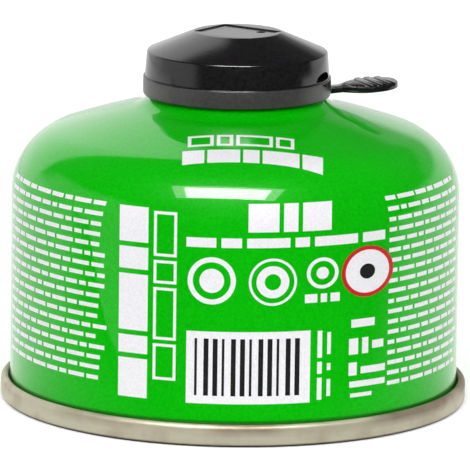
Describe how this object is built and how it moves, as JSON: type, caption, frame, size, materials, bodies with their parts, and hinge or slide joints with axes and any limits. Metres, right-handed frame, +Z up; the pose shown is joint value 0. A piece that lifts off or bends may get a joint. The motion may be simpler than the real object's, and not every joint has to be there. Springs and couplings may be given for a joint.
{
  "type": "fuel canister",
  "caption": "Low sealed gas canister with a domed lacquered steel can, a seamed dished base, a threaded valve collar and a push-on cap with a ribbed pull tab.",
  "frame": {"origin": "centre of the base, on the surface the canister stands on", "axes": "+Z up along the can's axis, -Y is the printed front, +X is the side the pull tab points to"},
  "size_m": [0.0936, 0.0936, 0.0745],
  "materials": {
    "lacquered_steel": "glossy green lacquer on drawn steel",
    "tinplate": "bare tinplate, slightly stained",
    "cup_tinplate": "bright gold-tinted tinplate",
    "black_rubber": "matt black rubber",
    "white_plastic": "natural white plastic",
    "spring_steel": "bright drawn wire",
    "cap_plastic": "satin black moulded plastic"
  },
  "bodies": {
    "can": {"can_body": "lacquered_steel", "bottom_end": "tinplate", "valve_cup": "cup_tinplate", "cup_gasket": "black_rubber", "valve_housing": "white_plastic", "valve_spring": "spring_steel", "stem_gasket": "black_rubber"},
    "stem": {"valve_stem": "white_plastic"},
    "cap": {"cap": "cap_plastic"}
  },
  "joints": [
    {"name": "cap_lift", "type": "slide", "parent": "can", "child": "cap", "axis": [0, 0, 1], "range_m": [0, 0.02]},
    {"name": "stem_press", "type": "slide", "parent": "can", "child": "stem", "axis": [0, 0, -1], "range_m": [0, 0.0015], "stiffness_N_per_m": 300, "springref_m": -0.002, "deforming": ["valve_spring"]}
  ]
}
